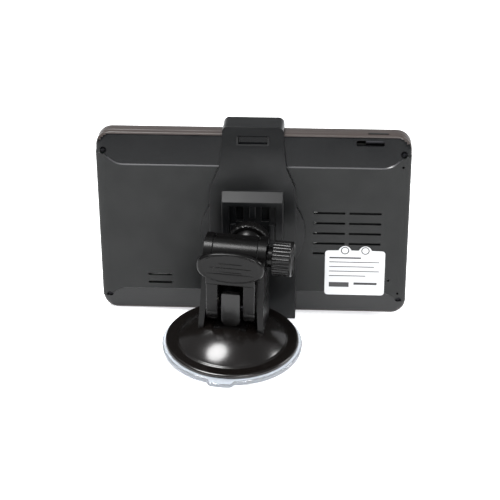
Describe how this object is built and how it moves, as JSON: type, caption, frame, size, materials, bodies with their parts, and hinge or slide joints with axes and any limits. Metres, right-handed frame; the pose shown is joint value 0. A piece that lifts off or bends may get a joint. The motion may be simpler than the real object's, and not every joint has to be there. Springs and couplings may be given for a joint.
{
  "type": "portable gps navigator",
  "caption": "Portable navigator seen from its back, held in a clip-on cradle on a ball-jointed arm with a lever-locked suction cup.",
  "frame": {"origin": "centre of the suction pad's underside, where it meets the surface it is stuck to", "axes": "+Z along the pad's axis away from the surface, +X to the right along the arm's clamp bolt (knob side), -Y towards the side the locking lever opens to; the navigator stands on the +Y side"},
  "size_m": [0.1882, 0.1216, 0.1255],
  "materials": {
    "case_back": "satin",
    "case_bezel": "gloss",
    "cradle_plastic": "satin",
    "arm_plastic": "satin",
    "knob_plastic": "satin",
    "cup_plastic": "gloss",
    "clear_pad": "gloss",
    "clip_grey": "satin",
    "label_paper": "matte",
    "screen_glass": "gloss",
    "foam": "matte",
    "lcd_metal": "satin",
    "board_green": "satin",
    "chip_black": "matte",
    "steel": "satin",
    "zinc_steel": "satin",
    "battery_wrap": "satin",
    "ceramic_patch": "matte",
    "speaker_body": "matte",
    "flex_film": "satin",
    "card_plastic": "satin",
    "race_plastic": "satin"
  },
  "bodies": {
    "cup": {"arm": "arm_plastic", "hinge_bolt": "steel", "hinge_nut": "steel", "friction_washers": "foam", "knob_spacer": "arm_plastic", "cup_dome": "cup_plastic", "suction_pad": "clear_pad", "release_spring": "steel", "base_screws": "zinc_steel", "lever_pin": "steel", "arm_tongue": "clip_grey"},
    "lever": {"lock_lever": "arm_plastic"},
    "rod": {"pull_rod": "race_plastic", "rod_anchor": "steel"},
    "knob": {"clamp_knob": "knob_plastic"},
    "neck": {"neck": "arm_plastic"},
    "collar": {"clamp_collar": "knob_plastic"},
    "race": {"ball_race": "race_plastic"},
    "ball": {"ball_stud": "steel", "stud_retainer": "steel"},
    "claw": {"claw_plate": "cradle_plastic", "claw_catch": "clip_grey"},
    "cradle": {"cradle": "cradle_plastic"},
    "navigator": {"front_bezel": "case_bezel", "back_shell": "case_back", "touch_panel": "screen_glass", "panel_gasket": "foam", "lcd_module": "lcd_metal", "lcd_tray": "steel", "main_board": "board_green", "shield_can": "steel", "board_chips": "chip_black", "gps_antenna": "ceramic_patch", "battery": "battery_wrap", "speaker": "speaker_body", "display_flex": "flex_film", "side_board": "board_green", "side_cable": "flex_film", "card_socket": "steel", "usb_socket": "steel", "earphone_socket": "chip_black", "power_switch": "chip_black", "case_screws": "zinc_steel", "rating_label": "label_paper"},
    "card": {"memory_card": "card_plastic"},
    "button": {"power_button": "cradle_plastic"}
  },
  "joints": [
    {"name": "lever_hinge", "type": "hinge", "parent": "cup", "child": "lever", "pos_m": [0, 0, 0.026], "axis": [1, 0, 0], "range_deg": [0, 80]},
    {"name": "rod_slide", "type": "slide", "parent": "cup", "child": "rod", "axis": [0, 0, -1], "range_m": [0, 0.0022]},
    {"name": "knob_turn", "type": "hinge", "parent": "cup", "child": "knob", "pos_m": [0.02, 0.014, 0.0535], "axis": [1, 0, 0], "continuous": true},
    {"name": "neck_tilt", "type": "hinge", "parent": "cup", "child": "neck", "pos_m": [0, 0.014, 0.0535], "axis": [1, 0, 0], "range_deg": [0, 60]},
    {"name": "collar_turn", "type": "hinge", "parent": "neck", "child": "collar", "pos_m": [0.0045, 0.032, 0.0515], "axis": [0, 1, 0], "continuous": true},
    {"name": "ball_yaw", "type": "hinge", "parent": "neck", "child": "race", "pos_m": [0.0045, 0.032, 0.0515], "axis": [0, 0, 1], "range_deg": [-10, 3]},
    {"name": "ball_pitch", "type": "hinge", "parent": "race", "child": "ball", "pos_m": [0.0045, 0.032, 0.0515], "axis": [1, 0, 0], "range_deg": [0, 12]},
    {"name": "head_swivel", "type": "hinge", "parent": "ball", "child": "claw", "pos_m": [0.0045, 0.032, 0.0515], "axis": [-0.0991, 0.9929, -0.0663], "range_deg": [-90, 90]},
    {"name": "cradle_slide", "type": "slide", "parent": "claw", "child": "cradle", "axis": [-0.0257, 0.064, 0.9976], "range_m": [0, 0.036]},
    {"name": "device_slide", "type": "slide", "parent": "cradle", "child": "navigator", "axis": [0.9947, 0.1006, 0.0192], "range_m": [0, 0.12]},
    {"name": "card_slide", "type": "slide", "parent": "navigator", "child": "card", "axis": [-0.0257, 0.064, 0.9976], "range_m": [0, 0.013]},
    {"name": "button_press", "type": "slide", "parent": "navigator", "child": "button", "axis": [0.9947, 0.1006, 0.0192], "range_m": [0, 0.0006], "stiffness_N_per_m": 600}
  ],
  "couplings": [
    {"joint": "rod_slide", "follows": "lever_hinge", "m_per_rad": 0.00157}
  ]
}
